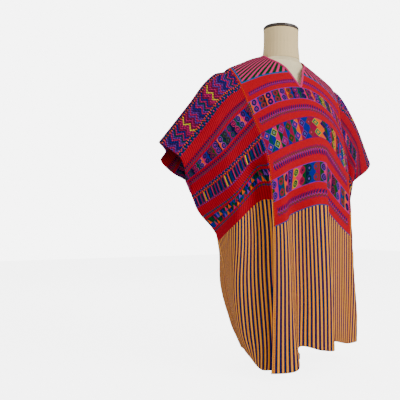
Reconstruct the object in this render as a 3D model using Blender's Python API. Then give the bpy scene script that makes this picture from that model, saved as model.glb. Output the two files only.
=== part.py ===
"""A huipil of three joined cloth panels on a limbless dress form. Metres, front towards -Y, +Z up."""

from collections import namedtuple

import bpy
import numpy as np

MM = 0.001

# The cut of the cloth, from the shoulder fold outwards
CENTRE_HALF = 0.200
SIDE_WIDTH = 0.315
FRONT_LENGTH = 0.918
BACK_LENGTH = 0.900
SLEEVE_SLIT = 0.186
WALL = 0.0020
SEAM_GAP = 0.0006

# The mesh: steps of the cloth from the fold to the sleeve slit's end, from there to the hem, and across
SLIT_STEPS = 10
SKIRT_STEPS = 18
CENTRE_STEPS = 10
SIDE_STEPS = 14
CURVE_STEPS = 14

# The binding round the neck hole
BINDING_WIDTH = 0.006
BINDING_WALL = 0.0012
BINDING_LIFT = 0.0014

# The pleat behind each seam, for the depths in the tables. Its bottom lies PLEAT_BEHIND and a slope deeper
# than the seam, its return lies PLEAT_RETURN deeper again, and a back pleat runs less sideways. Below a
# depth of PLEAT_FULL it fades into plain cloth, at PLAIN_SHARES of the way from the seam to the middle.
# The lobe in front of a pleat turns inwards by LOBE_SLOPE of its width.
PLEAT_BEHIND = 0.016
PLEAT_RETURN = 0.022
PLEAT_SLOPE = 0.45
PLEAT_OPEN = 0.15
PLEAT_FULL = 0.014
BACK_PLEAT_SLOPE = 1.2
BACK_PLEAT_WIDTH = 0.5
LOBE_SLOPE = 0.3
PLAIN_SHARES = (0.10, 0.36, 0.68)

# The rounding of the cloth over the shoulder's end, and how far down it fades out
SHOULDER_ROUND = 0.017
SHOULDER_FADE = 0.20

Side = namedtuple("Side", "t seam_x seam_y seam_z lobe pleat mid_x mid_y mid_z edge_x edge_y edge_z")
Centre = namedtuple(
    "Centre",
    "t lobe_x lobe_y lobe_z left_x left_y left_z mid_x mid_y mid_z"
    " ridge_x ridge_y ridge_z right_x right_y right_z",
)
Ring = namedtuple("Ring", "z half_width front back power")
Hole = namedtuple("Hole", "t half_width")

# Sections of the cloth in millimetres, a row for each distance t down from the shoulder fold.
# x runs outwards from the middle on both sides.
FRONT_LEFT = [
    Side(0, 193, 0, 880, 4, 0, 306, 2, 776, 400, 20, 650),
    Side(50, 190, -42, 847, 4, 0, 300, -38, 744, 386, -36, 622),
    Side(100, 187, -73, 806, 4, 0, 288, -82, 704, 368, -56, 598),
    Side(150, 183, -97, 762, 4, 0, 276, -94, 664, 346, -38, 560),
    Side(186, 180, -114, 730, 4, 0, 266, -99, 632, 336, -12, 545),
    Side(260, 175, -151, 667, 4, 0, 252, -108, 576, 311, -6, 499),
    Side(330, 170, -180, 605, 4, 10, 240, -118, 520, 288, -2, 456),
    Side(400, 165, -188, 536, 4, 22, 234, -122, 466, 238, 2, 405),
    Side(510, 158, -191, 427, 4, 28, 230, -118, 372, 204, 14, 328),
    Side(650, 160, -197, 286, 4, 32, 226, -108, 246, 176, 28, 206),
    Side(800, 166, -203, 136, 4, 36, 206, -104, 120, 144, 28, 104),
    Side(918, 172, -207, 20, 4, 36, 180, -100, 50, 126, 18, 44),
]
FRONT_RIGHT = [
    Side(0, 193, 0, 880, 4, 0, 300, 14, 776, 394, 44, 652),
    Side(50, 194, -34, 842, 4, 0, 302, -18, 752, 386, 6, 636),
    Side(100, 193, -54, 795, 4, 0, 274, -56, 706, 342, -24, 606),
    Side(150, 190, -66, 746, 4, 0, 256, -68, 660, 290, -28, 574),
    Side(186, 188, -76, 712, 4, 0, 246, -76, 624, 272, 0, 546),
    Side(260, 182, -98, 642, 4, 10, 226, -82, 552, 254, 4, 490),
    Side(330, 179, -114, 576, 4, 24, 216, -78, 486, 240, 8, 425),
    Side(400, 175, -125, 507, 4, 42, 210, -72, 430, 234, 10, 370),
    Side(510, 172, -132, 398, 10, 66, 208, -60, 338, 222, 10, 290),
    Side(650, 166, -138, 262, 23, 82, 204, -56, 216, 205, 10, 185),
    Side(800, 160, -140, 136, 44, 92, 206, -40, 104, 190, 10, 90),
    Side(918, 156, -140, 54, 48, 98, 204, -24, 56, 180, 10, 60),
]
BACK_LEFT = [
    Side(0, 193, 0, 880, 4, 0, 306, 2, 776, 400, 20, 650),
    Side(50, 190, 38, 848, 4, 0, 300, 44, 745, 370, 42, 628),
    Side(100, 186, 66, 806, 4, 0, 286, 78, 700, 372, 70, 604),
    Side(150, 181, 84, 759, 4, 0, 272, 88, 655, 345, 42, 566),
    Side(186, 178, 95, 723, 4, 0, 262, 90, 620, 336, -12, 545),
    Side(260, 172, 106, 650, 4, 0, 244, 90, 562, 311, -6, 499),
    Side(330, 167, 111, 581, 4, 14, 230, 94, 506, 288, -2, 456),
    Side(400, 162, 113, 511, 4, 32, 196, 86, 450, 238, 2, 405),
    Side(510, 150, 108, 401, 4, 52, 170, 90, 362, 204, 14, 328),
    Side(650, 146, 112, 262, 4, 46, 168, 86, 240, 176, 28, 206),
    Side(800, 120, 104, 114, 4, 18, 136, 74, 114, 144, 28, 104),
    Side(900, 92, 84, 36, 4, 5, 114, 54, 44, 126, 18, 44),
]
BACK_RIGHT = [
    Side(0, 193, 0, 880, 4, 0, 300, 14, 776, 394, 44, 652),
    Side(50, 190, 38, 846, 4, 0, 292, 52, 744, 352, 70, 622),
    Side(100, 186, 66, 804, 4, 0, 278, 76, 696, 310, 78, 590),
    Side(150, 182, 84, 757, 4, 0, 260, 84, 650, 280, 54, 564),
    Side(186, 178, 95, 721, 4, 0, 240, 86, 614, 272, 0, 546),
    Side(260, 172, 106, 648, 4, 6, 226, 88, 546, 254, 4, 490),
    Side(330, 168, 111, 579, 4, 20, 222, 90, 486, 240, 8, 425),
    Side(400, 165, 113, 509, 4, 40, 216, 92, 430, 234, 10, 370),
    Side(510, 160, 113, 399, 4, 62, 208, 90, 340, 222, 10, 290),
    Side(650, 154, 110, 260, 4, 66, 196, 84, 212, 205, 10, 185),
    Side(800, 142, 104, 112, 4, 64, 186, 78, 100, 190, 10, 90),
    Side(900, 134, 98, 52, 4, 56, 178, 70, 56, 180, 10, 60),
]
FRONT_CENTRE = [
    Centre(0, -146, 0, 904, -98, 0, 927, 0, 0, 953, 66, 0, 940, 130, 0, 912),
    Centre(50, -146, -45, 873, -98, -47, 896, 0, -50, 923, 66, -48, 908, 132, -42, 879),
    Centre(100, -144, -77, 833, -98, -80, 855, 0, -80, 877, 66, -79, 864, 130, -69, 838),
    Centre(150, -142, -104, 788, -96, -108, 810, 0, -103, 830, 64, -102, 818, 128, -90, 790),
    Centre(186, -140, -121, 756, -94, -126, 778, 0, -122, 798, 62, -120, 787, 126, -105, 756),
    Centre(260, -136, -157, 690, -92, -160, 710, 0, -158, 732, 50, -156, 722, 108, -139, 696),
    Centre(330, -132, -186, 624, -92, -187, 642, -6, -189, 668, 30, -185, 664, 66, -166, 650),
    Centre(400, -130, -197, 555, -94, -188, 572, -14, -198, 598, 20, -195, 596, 46, -174, 586),
    Centre(510, -126, -206, 443, -84, -172, 462, -16, -203, 489, 22, -204, 487, 38, -176, 480),
    Centre(650, -122, -216, 299, -76, -176, 326, -12, -208, 345, 26, -210, 343, 40, -178, 336),
    Centre(800, -116, -224, 148, -72, -184, 182, -8, -212, 194, 32, -215, 192, 44, -182, 192),
    Centre(918, -104, -232, 27, -70, -190, 78, -6, -213, 64, 36, -217, 60, 48, -183, 78),
]
BACK_CENTRE = [
    Centre(0, -146, 0, 904, -98, 0, 927, 0, 0, 953, 66, 0, 940, 130, 0, 912),
    Centre(50, -144, 44, 875, -98, 48, 897, 0, 54, 934, 66, 51, 918, 132, 44, 880),
    Centre(100, -142, 73, 833, -96, 78, 855, 0, 82, 888, 66, 80, 874, 130, 72, 838),
    Centre(150, -139, 89, 784, -94, 92, 806, 0, 92, 836, 64, 93, 823, 128, 89, 790),
    Centre(186, -136, 98, 748, -92, 99, 770, 0, 96, 800, 62, 99, 788, 126, 98, 754),
    Centre(260, -132, 108, 674, -90, 106, 696, 0, 104, 728, 60, 106, 714, 122, 107, 680),
    Centre(330, -129, 112, 604, -88, 108, 626, 0, 112, 658, 58, 110, 642, 120, 112, 610),
    Centre(400, -125, 111, 534, -84, 104, 556, 0, 120, 588, 56, 112, 572, 118, 110, 540),
    Centre(510, -118, 104, 424, -72, 84, 448, 0, 126, 478, 54, 108, 466, 112, 98, 430),
    Centre(650, -106, 92, 286, -56, 56, 310, 0, 128, 338, 50, 96, 326, 102, 78, 292),
    Centre(800, -86, 80, 138, -44, 38, 164, 2, 124, 190, 48, 86, 180, 98, 66, 148),
    Centre(900, -74, 72, 44, -36, 32, 72, 4, 120, 92, 46, 80, 84, 96, 60, 62),
]
NECK_HOLE = [
    Hole(-74, 0),
    Hole(-56, 34),
    Hole(-38, 52),
    Hole(-18, 63),
    Hole(0, 68),
    Hole(26, 66),
    Hole(50, 50),
    Hole(80, 29),
    Hole(110, 16),
    Hole(145, 0),
]

# The dress form in millimetres
TORSO = [
    Ring(398, 70, 60, 30, 2.0),
    Ring(402, 104, 92, 46, 2.0),
    Ring(416, 124, 112, 58, 2.1),
    Ring(450, 135, 122, 68, 2.2),
    Ring(510, 137, 128, 74, 2.2),
    Ring(570, 134, 132, 76, 2.2),
    Ring(630, 140, 146, 78, 2.2),
    Ring(680, 148, 152, 80, 2.2),
    Ring(720, 152, 143, 80, 2.1),
    Ring(760, 156, 126, 78, 2.0),
    Ring(800, 160, 105, 74, 1.9),
    Ring(835, 164, 85, 66, 1.8),
    Ring(862, 166, 68, 58, 1.7),
    Ring(882, 160, 58, 55, 1.6),
    Ring(898, 140, 54, 53, 1.5),
    Ring(912, 112, 54, 53, 1.4),
    Ring(924, 82, 52, 53, 1.5),
    Ring(933, 60, 57, 57, 2.0),
]
TORSO_SIDES = 40
NECK_RADIUS = 0.0590
NECK_TOP_RADIUS = 0.0545
NECK_TOP = 1.025
CAP_TOP = 1.036
CAP_RADIUS = 0.0555
CAP_EDGE = 0.0025
POLE_RADIUS = 0.011
BASE_RADIUS = 0.060
BASE_HEIGHT = 0.020
BASE_EDGE = 0.003
FORM_GAP = 0.0003
ROUND_SIDES = 32


def clear_scene():
    for obj in list(bpy.data.objects):
        bpy.data.objects.remove(obj, do_unlink=True)


def material(name, colour, roughness):
    made = bpy.data.materials.new(name)
    made.use_nodes = True
    shader = made.node_tree.nodes["Principled BSDF"]
    shader.inputs["Base Color"].default_value = (*colour, 1.0)
    shader.inputs["Roughness"].default_value = roughness
    return made


def add_mesh(name, points, faces, surface):
    mesh = bpy.data.meshes.new(name)
    mesh.from_pydata([tuple(point) for point in points], [], faces)
    mesh.materials.append(surface)
    mesh.update()
    obj = bpy.data.objects.new(name, mesh)
    bpy.context.scene.collection.objects.link(obj)
    return obj


def joined(back, front):
    """One table from the back hem, where t is negative, over the fold to the front hem, in metres."""
    rows = [row._replace(t=-row.t) for row in reversed(back[1:])] + list(front)
    return np.array(rows, float) * MM


LEFT = joined(BACK_LEFT, FRONT_LEFT)
RIGHT = joined(BACK_RIGHT, FRONT_RIGHT)
MIDDLE = joined(BACK_CENTRE, FRONT_CENTRE)
HOLE = np.array(NECK_HOLE, float) * MM


def table_at(table, where):
    """The values of a table's row at one place in its first column, on a cubic through its rows."""
    knots = table[:, 0]
    values = table[:, 1:]
    slopes = np.gradient(values, knots, axis=0)
    k = int(np.clip(np.searchsorted(knots, where) - 1, 0, len(knots) - 2))
    step = knots[k + 1] - knots[k]
    u = (where - knots[k]) / step
    start = (1 + 2 * u) * (1 - u) ** 2 * values[k] + u * (1 - u) ** 2 * step * slopes[k]
    end = u * u * (3 - 2 * u) * values[k + 1] + u * u * (u - 1) * step * slopes[k + 1]
    return start + end


def side_points(table, t, side):
    """Control points outwards: seam, turn, the pleat's bottom and return, middle and edge."""
    row = table_at(table, t)
    seam, lobe, pleat, mid, edge = row[0:3], row[3], max(row[4], 0.0), row[5:8], row[8:11]
    full = min(pleat / PLEAT_FULL, 1.0)
    if t > 0:
        depth = PLEAT_BEHIND + PLEAT_SLOPE * pleat
        sideways = pleat
        inwards = 1
    else:
        depth = PLEAT_BEHIND + BACK_PLEAT_SLOPE * pleat
        sideways = BACK_PLEAT_WIDTH * pleat
        inwards = -1
    turn = seam + np.array([lobe, inwards * LOBE_SLOPE * lobe, 0.0])
    bottom = turn + np.array([-sideways, inwards * depth, 0.0])
    back_out = turn + np.array([-PLEAT_OPEN * pleat, inwards * (depth + PLEAT_RETURN), 0.0])
    plain = [seam + (mid - seam) * share for share in PLAIN_SHARES]
    folded = [turn, bottom, back_out]
    between = [a * (1 - full) + b * full for a, b in zip(plain, folded)]
    rounding = SHOULDER_ROUND * max(0.0, 1 - abs(t) / SHOULDER_FADE)
    between[1][2] += rounding
    between[2][2] += rounding
    points = np.array([seam, *between, mid, edge])
    points[:, 0] *= side
    return points


def curve_through(points):
    """Dense smooth line through the points, with the place of each of them in it."""
    ends = np.vstack([2 * points[0] - points[1], points, 2 * points[-1] - points[-2]])
    steps = np.sqrt(np.linalg.norm(np.diff(ends, axis=0), axis=1))
    knots = np.concatenate([[0], np.cumsum(steps)])
    line = []
    for k in range(1, len(ends) - 2):
        a, b, c, d = ends[k - 1 : k + 3]
        ka, kb, kc, kd = knots[k - 1 : k + 3]
        for u in np.linspace(kb, kc, CURVE_STEPS, endpoint=False):
            ab = a + (b - a) * (u - ka) / (kb - ka)
            bc = b + (c - b) * (u - kb) / (kc - kb)
            cd = c + (d - c) * (u - kc) / (kd - kc)
            abc = ab + (bc - ab) * (u - ka) / (kc - ka)
            bcd = bc + (cd - bc) * (u - kb) / (kd - kb)
            line.append(abc + (bcd - abc) * (u - kb) / (kc - kb))
    line.append(points[-1])
    return np.array(line), np.arange(len(points)) * CURVE_STEPS


def section(t):
    """The cloth's line across at t, in four parts: left side, left half, right half and right side."""
    left = side_points(LEFT, t, -1)
    right = side_points(RIGHT, t, 1)
    middle = table_at(MIDDLE, t).reshape(5, 3)
    line, places = curve_through(np.vstack([left[::-1], middle, right]))
    cuts = places[[0, 5, 8, 11, 16]]
    return [line[start : end + 1] for start, end in zip(cuts[:-1], cuts[1:])]


def points_on(part, shares):
    """Points of one part of a section at shares of its length."""
    steps = np.linalg.norm(np.diff(part, axis=0), axis=1)
    along = np.concatenate([[0], np.cumsum(steps)])
    places = np.asarray(shares) * along[-1]
    return np.column_stack([np.interp(places, along, part[:, k]) for k in range(3)])


def hole_half(t):
    if t <= HOLE[0, 0] + 1e-6 or t >= HOLE[-1, 0] - 1e-6:
        return 0.0
    return max(float(table_at(HOLE, t)[0]), 0.0)


def row_distances():
    """Distances t of the rows, from the back hem to the front hem, with rows at both ends of the hole."""
    upper = np.linspace(0, SLEEVE_SLIT, SLIT_STEPS + 1)
    front = np.concatenate([upper, np.linspace(SLEEVE_SLIT, FRONT_LENGTH, SKIRT_STEPS + 1)[1:]])
    back = np.concatenate([upper, np.linspace(SLEEVE_SLIT, BACK_LENGTH, SKIRT_STEPS + 1)[1:]])
    rows = np.concatenate([-back[:0:-1], front])
    for fixed in (HOLE[0, 0], HOLE[-1, 0]):
        rows[np.argmin(abs(rows - fixed))] = fixed
    return rows


class Cloth:
    """The points of all panels and the faces of each, so that their walls meet evenly at the seams."""

    def __init__(self):
        self.points = []
        self.faces = {}

    def add(self, point):
        self.points.append(np.asarray(point))
        return len(self.points) - 1

    def join_grid(self, name, index, turned):
        quads = self.faces.setdefault(name, [])
        for i in range(index.shape[0] - 1):
            for j in range(index.shape[1] - 1):
                quad = [index[i, j], index[i, j + 1], index[i + 1, j + 1], index[i + 1, j]]
                quads.append(quad[::-1] if turned else quad)

    def normals(self, seams):
        """Outward directions at the points, the same on both sides of a seam."""
        points = np.array(self.points)
        found = np.zeros_like(points)
        for quads in self.faces.values():
            for a, b, c, d in quads:
                across = np.cross(points[c] - points[a], points[d] - points[b])
                for k in (a, b, c, d):
                    found[k] += across
        for one, other in seams:
            both = found[one] + found[other]
            found[one] = both
            found[other] = both
        return found / np.maximum(np.linalg.norm(found, axis=1), 1e-12)[:, None]


def side_index(cloth, rows, grid):
    """Numbers the points of a side panel, front and back sharing the side seam below the slit."""
    index = np.zeros(grid.shape[:2], int)
    fold = len(rows) // 2
    for i in range(len(rows)):
        for j in range(grid.shape[1]):
            index[i, j] = cloth.add(grid[i, j])
    for step in range(SLIT_STEPS, fold + 1):
        front, back = index[fold + step, -1], index[fold - step, -1]
        cloth.points[front] = (cloth.points[front] + cloth.points[back]) / 2
        index[fold - step, -1] = front
    return index


def build_cloth():
    """All panels' points and faces, the seams as pairs of points, and the neckline as triples."""
    rows = row_distances()
    gap = SEAM_GAP / 2
    cloth = Cloth()
    sides = []
    centre = []
    lines = [section(t) for t in rows]
    side_shares = np.linspace(gap / SIDE_WIDTH, 1, SIDE_STEPS + 1)
    for side, name in enumerate(("side_panel_left", "side_panel_right")):
        parts = [line[3] if side else line[0][::-1] for line in lines]
        grid = np.array([points_on(part, side_shares) for part in parts])
        index = side_index(cloth, rows, grid)
        cloth.join_grid(name, index, bool(side))
        sides.append(index)
    for side in range(2):
        index = np.zeros((len(rows), CENTRE_STEPS + 1), int)
        for i, t in enumerate(rows):
            half = hole_half(t)
            part = lines[i][2] if side else lines[i][1][::-1]
            shares = np.linspace(half / CENTRE_HALF, 1 - gap / CENTRE_HALF, CENTRE_STEPS + 1)
            points = points_on(part, shares)
            for j in range(CENTRE_STEPS + 1):
                shared = side == 1 and j == 0 and half == 0.0
                index[i, j] = centre[0][i, 0] if shared else cloth.add(points[j])
        cloth.join_grid("centre_panel", index, bool(side))
        centre.append(index)
    seams = [pair for k in range(2) for pair in zip(sides[k][:, 0], centre[k][:, -1])]
    return cloth, seams, neckline(centre, rows)


def neckline(centre, rows):
    """The hole's edge points in order, each with the point that its binding runs towards."""
    left, right = centre
    is_open = [i for i in range(len(rows)) if left[i, 0] != right[i, 0]]
    first, last = is_open[0], is_open[-1]
    loop = [(left[first - 1, 0], left[first - 2, 0])]
    loop += [(left[i, 0], left[i, 1]) for i in is_open]
    loop += [(left[last + 1, 0], left[last + 2, 0])]
    loop += [(right[i, 0], right[i, 1]) for i in reversed(is_open)]
    return loop


def shell(outer, inner, quads):
    """Points and faces of a closed wall between two sets of points joined by the same faces."""
    used = sorted({k for quad in quads for k in quad})
    place = {k: n for n, k in enumerate(used)}
    points = [outer[k] for k in used] + [inner[k] for k in used]
    count = len(used)
    faces = []
    edges = {}
    for quad in quads:
        quad = [place[k] for k in quad]
        faces.append(quad)
        faces.append([k + count for k in quad[::-1]])
        for a, b in zip(quad, quad[1:] + quad[:1]):
            edges[a, b] = True
    for a, b in edges:
        if (b, a) not in edges:
            faces.append([b, a, a + count, b + count])
    return points, faces


def add_panels(surfaces):
    cloth, seams, loop = build_cloth()
    outer = np.array(cloth.points)
    normals = cloth.normals(seams)
    inner = outer - normals * WALL
    for name, quads in cloth.faces.items():
        points, faces = shell(outer, inner, quads)
        add_mesh(name, points, faces, surfaces[name])
    add_binding(outer, normals, loop, surfaces["neck_binding"])


def add_binding(points, normals, loop, surface):
    """A strip on the cloth's outer face round the neck hole, moved out from the panel's own points."""
    low = []
    high = []
    for k, (edge, towards) in enumerate(loop):
        along = points[loop[(k + 1) % len(loop)][0]] - points[loop[k - 1][0]]
        away = np.cross(along, normals[edge])
        away *= np.sign(away @ (points[towards] - points[edge])) / np.linalg.norm(away)
        for share in (0.0, 0.5, 1.0):
            place = points[edge] + away * BINDING_WIDTH * share
            low.append(place + normals[edge] * BINDING_LIFT)
            high.append(place + normals[edge] * (BINDING_LIFT + BINDING_WALL))
    count = len(loop)
    quads = []
    for i in range(count):
        after = (i + 1) % count
        for j in range(2):
            quads.append([3 * i + j, 3 * i + j + 1, 3 * after + j + 1, 3 * after + j])
    made, faces = shell(high, low, quads)
    add_mesh("neck_binding", made, faces, surface)


def loft(name, rings, surface):
    """A closed body through rings of points of the same count, from the bottom up."""
    count = len(rings[0])
    points = [point for ring in rings for point in ring]
    faces = [list(range(count))[::-1]]
    for i in range(len(rings) - 1):
        for k in range(count):
            after = (k + 1) % count
            faces.append([i * count + k, i * count + after, (i + 1) * count + after, (i + 1) * count + k])
    faces.append([(len(rings) - 1) * count + k for k in range(count)])
    return add_mesh(name, points, faces, surface)


def torso_ring(ring):
    """One level of the torso: a rounded section, deeper in front than behind."""
    points = []
    for k in range(TORSO_SIDES):
        angle = 2 * np.pi * k / TORSO_SIDES
        c, s = np.cos(angle), np.sin(angle)
        depth = ring.back if s > 0 else ring.front
        x = np.sign(c) * abs(c) ** (2 / ring.power) * ring.half_width
        y = np.sign(s) * abs(s) ** (2 / ring.power) * depth
        points.append((x * MM, y * MM, ring.z * MM))
    return points


def turned(name, profile, surface):
    """A round body on the Z axis from pairs of radius and height."""
    angles = np.linspace(0, 2 * np.pi, ROUND_SIDES, endpoint=False)
    rings = [[(r * np.cos(a), r * np.sin(a), z) for a in angles] for r, z in profile]
    return loft(name, rings, surface)


def add_form(surfaces):
    loft("form_torso", [torso_ring(ring) for ring in TORSO], surfaces["form_torso"])
    torso_bottom = TORSO[0].z * MM
    torso_top = TORSO[-1].z * MM
    cap_bottom = NECK_TOP + FORM_GAP
    turned(
        "form_neck",
        [
            (NECK_RADIUS, torso_top + FORM_GAP),
            (NECK_TOP_RADIUS, (torso_top + NECK_TOP) / 2),
            (NECK_TOP_RADIUS, NECK_TOP),
        ],
        surfaces["form_neck"],
    )
    turned(
        "form_cap",
        [
            (CAP_RADIUS - CAP_EDGE, cap_bottom),
            (CAP_RADIUS, cap_bottom + CAP_EDGE),
            (CAP_RADIUS, CAP_TOP - CAP_EDGE),
            (CAP_RADIUS - CAP_EDGE, CAP_TOP),
        ],
        surfaces["form_cap"],
    )
    turned(
        "form_pole",
        [(POLE_RADIUS, BASE_HEIGHT + FORM_GAP), (POLE_RADIUS, torso_bottom - FORM_GAP)],
        surfaces["form_pole"],
    )
    turned(
        "form_base",
        [
            (BASE_RADIUS - BASE_EDGE, 0.0),
            (BASE_RADIUS, BASE_EDGE),
            (BASE_RADIUS, BASE_HEIGHT - BASE_EDGE),
            (BASE_RADIUS - BASE_EDGE, BASE_HEIGHT),
        ],
        surfaces["form_base"],
    )


def main():
    clear_scene()
    cotton_red = material("woven_red_cotton", (0.52, 0.02, 0.03), 0.9)
    surfaces = {
        "centre_panel": cotton_red,
        "side_panel_left": material("woven_crimson_cotton_left", (0.36, 0.01, 0.02), 0.9),
        "side_panel_right": material("woven_crimson_cotton_right", (0.36, 0.01, 0.02), 0.9),
        "neck_binding": material("pink_cotton_binding", (0.78, 0.06, 0.25), 0.85),
        "form_torso": material("ivory_jersey", (0.88, 0.83, 0.70), 0.8),
        "form_neck": material("beige_linen", (0.60, 0.51, 0.38), 0.85),
        "form_cap": material("dark_wood", (0.05, 0.035, 0.028), 0.5),
        "form_pole": material("grey_steel", (0.55, 0.55, 0.55), 0.35),
        "form_base": material("pale_enamel", (0.85, 0.84, 0.81), 0.4),
    }
    add_panels(surfaces)
    add_form(surfaces)


main()
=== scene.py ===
"""A huipil on its dress form, dressed for its picture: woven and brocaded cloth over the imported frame."""

import math
from collections import namedtuple

import bpy
import numpy as np
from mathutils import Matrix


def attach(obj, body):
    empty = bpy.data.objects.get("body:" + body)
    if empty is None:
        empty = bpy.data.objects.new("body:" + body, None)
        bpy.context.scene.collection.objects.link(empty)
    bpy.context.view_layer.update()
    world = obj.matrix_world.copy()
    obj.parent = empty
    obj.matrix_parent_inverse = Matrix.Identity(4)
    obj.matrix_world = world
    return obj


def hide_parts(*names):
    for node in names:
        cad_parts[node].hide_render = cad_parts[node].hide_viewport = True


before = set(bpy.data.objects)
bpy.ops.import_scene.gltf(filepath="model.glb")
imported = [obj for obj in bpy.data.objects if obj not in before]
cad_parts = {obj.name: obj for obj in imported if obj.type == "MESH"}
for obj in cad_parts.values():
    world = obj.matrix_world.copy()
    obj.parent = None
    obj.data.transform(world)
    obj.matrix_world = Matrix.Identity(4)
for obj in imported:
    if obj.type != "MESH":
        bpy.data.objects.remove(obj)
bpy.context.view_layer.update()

MM = 0.001

# The cut of the cloth, from the shoulder fold outwards, as the frame has it
CENTRE_HALF = 0.200
SIDE_WIDTH = 0.315
FRONT_LENGTH = 0.918
BACK_LENGTH = 0.900
SLEEVE_SLIT = 0.186
WALL = 0.0016
SEAM_GAP = 0.0006

# The mesh of the cloth: steps from the fold to the slit's end, from there to the hem, and across
SLIT_STEPS = 36
SKIRT_STEPS = 140
CENTRE_STEPS = 40
SIDE_STEPS = 60
CURVE_STEPS = 22

BINDING_WIDTH = 0.006
BINDING_WALL = 0.0014
BINDING_LIFT = 0.0004

PLEAT_BEHIND = 0.016
PLEAT_RETURN = 0.022
PLEAT_SLOPE = 0.45
PLEAT_OPEN = 0.15
PLEAT_FULL = 0.014
BACK_PLEAT_SLOPE = 1.2
BACK_PLEAT_WIDTH = 0.5
LOBE_SLOPE = 0.3
PLAIN_SHARES = (0.10, 0.36, 0.68)
SHOULDER_ROUND = 0.017
SHOULDER_FADE = 0.20

Side = namedtuple("Side", "t seam_x seam_y seam_z lobe pleat mid_x mid_y mid_z edge_x edge_y edge_z")
Centre = namedtuple(
    "Centre",
    "t lobe_x lobe_y lobe_z left_x left_y left_z mid_x mid_y mid_z"
    " ridge_x ridge_y ridge_z right_x right_y right_z",
)
Ring = namedtuple("Ring", "z half_width front back power")
Hole = namedtuple("Hole", "t half_width")

# Sections of the cloth in millimetres, a row for each distance t down from the shoulder fold.
# x runs outwards from the middle on both sides.
FRONT_LEFT = [
    Side(0, 193, 0, 880, 4, 0, 306, 2, 776, 400, 20, 650),
    Side(50, 190, -42, 847, 4, 0, 300, -38, 744, 386, -36, 622),
    Side(100, 187, -73, 806, 4, 0, 288, -82, 704, 368, -56, 598),
    Side(150, 183, -97, 762, 4, 0, 276, -94, 664, 346, -38, 560),
    Side(186, 180, -114, 730, 4, 0, 266, -99, 632, 336, -12, 545),
    Side(260, 175, -151, 667, 4, 0, 252, -108, 576, 311, -6, 499),
    Side(330, 170, -180, 605, 4, 10, 240, -118, 520, 288, -2, 456),
    Side(400, 165, -188, 536, 4, 22, 234, -122, 466, 238, 2, 405),
    Side(510, 158, -191, 427, 4, 28, 230, -118, 372, 204, 14, 328),
    Side(650, 160, -197, 286, 4, 32, 226, -108, 246, 176, 28, 206),
    Side(800, 166, -203, 136, 4, 36, 206, -104, 120, 144, 28, 104),
    Side(918, 172, -207, 20, 4, 36, 180, -100, 50, 126, 18, 44),
]
FRONT_RIGHT = [
    Side(0, 193, 0, 880, 4, 0, 300, 14, 776, 394, 44, 652),
    Side(50, 194, -34, 842, 4, 0, 302, -18, 752, 386, 6, 636),
    Side(100, 193, -54, 795, 4, 0, 274, -56, 706, 342, -24, 606),
    Side(150, 190, -66, 746, 4, 0, 256, -68, 660, 290, -28, 574),
    Side(186, 188, -76, 712, 4, 0, 246, -76, 624, 272, 0, 546),
    Side(260, 182, -98, 642, 4, 10, 226, -82, 552, 254, 4, 490),
    Side(330, 179, -114, 576, 4, 24, 216, -78, 486, 240, 8, 425),
    Side(400, 175, -125, 507, 4, 42, 210, -72, 430, 234, 10, 370),
    Side(510, 172, -132, 398, 10, 66, 208, -60, 338, 222, 10, 290),
    Side(650, 166, -138, 262, 23, 82, 204, -56, 216, 205, 10, 185),
    Side(800, 160, -140, 136, 44, 92, 206, -40, 104, 190, 10, 90),
    Side(918, 156, -140, 54, 48, 98, 204, -24, 56, 180, 10, 60),
]
BACK_LEFT = [
    Side(0, 193, 0, 880, 4, 0, 306, 2, 776, 400, 20, 650),
    Side(50, 190, 38, 848, 4, 0, 300, 44, 745, 370, 42, 628),
    Side(100, 186, 66, 806, 4, 0, 286, 78, 700, 372, 70, 604),
    Side(150, 181, 84, 759, 4, 0, 272, 88, 655, 345, 42, 566),
    Side(186, 178, 95, 723, 4, 0, 262, 90, 620, 336, -12, 545),
    Side(260, 172, 106, 650, 4, 0, 244, 90, 562, 311, -6, 499),
    Side(330, 167, 111, 581, 4, 14, 230, 94, 506, 288, -2, 456),
    Side(400, 162, 113, 511, 4, 32, 196, 86, 450, 238, 2, 405),
    Side(510, 150, 108, 401, 4, 52, 170, 90, 362, 204, 14, 328),
    Side(650, 146, 112, 262, 4, 46, 168, 86, 240, 176, 28, 206),
    Side(800, 120, 104, 114, 4, 18, 136, 74, 114, 144, 28, 104),
    Side(900, 92, 84, 36, 4, 5, 114, 54, 44, 126, 18, 44),
]
BACK_RIGHT = [
    Side(0, 193, 0, 880, 4, 0, 300, 14, 776, 394, 44, 652),
    Side(50, 190, 38, 846, 4, 0, 292, 52, 744, 352, 70, 622),
    Side(100, 186, 66, 804, 4, 0, 278, 76, 696, 310, 78, 590),
    Side(150, 182, 84, 757, 4, 0, 260, 84, 650, 280, 54, 564),
    Side(186, 178, 95, 721, 4, 0, 240, 86, 614, 272, 0, 546),
    Side(260, 172, 106, 648, 4, 6, 226, 88, 546, 254, 4, 490),
    Side(330, 168, 111, 579, 4, 20, 222, 90, 486, 240, 8, 425),
    Side(400, 165, 113, 509, 4, 40, 216, 92, 430, 234, 10, 370),
    Side(510, 160, 113, 399, 4, 62, 208, 90, 340, 222, 10, 290),
    Side(650, 154, 110, 260, 4, 66, 196, 84, 212, 205, 10, 185),
    Side(800, 142, 104, 112, 4, 64, 186, 78, 100, 190, 10, 90),
    Side(900, 134, 98, 52, 4, 56, 178, 70, 56, 180, 10, 60),
]
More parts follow.
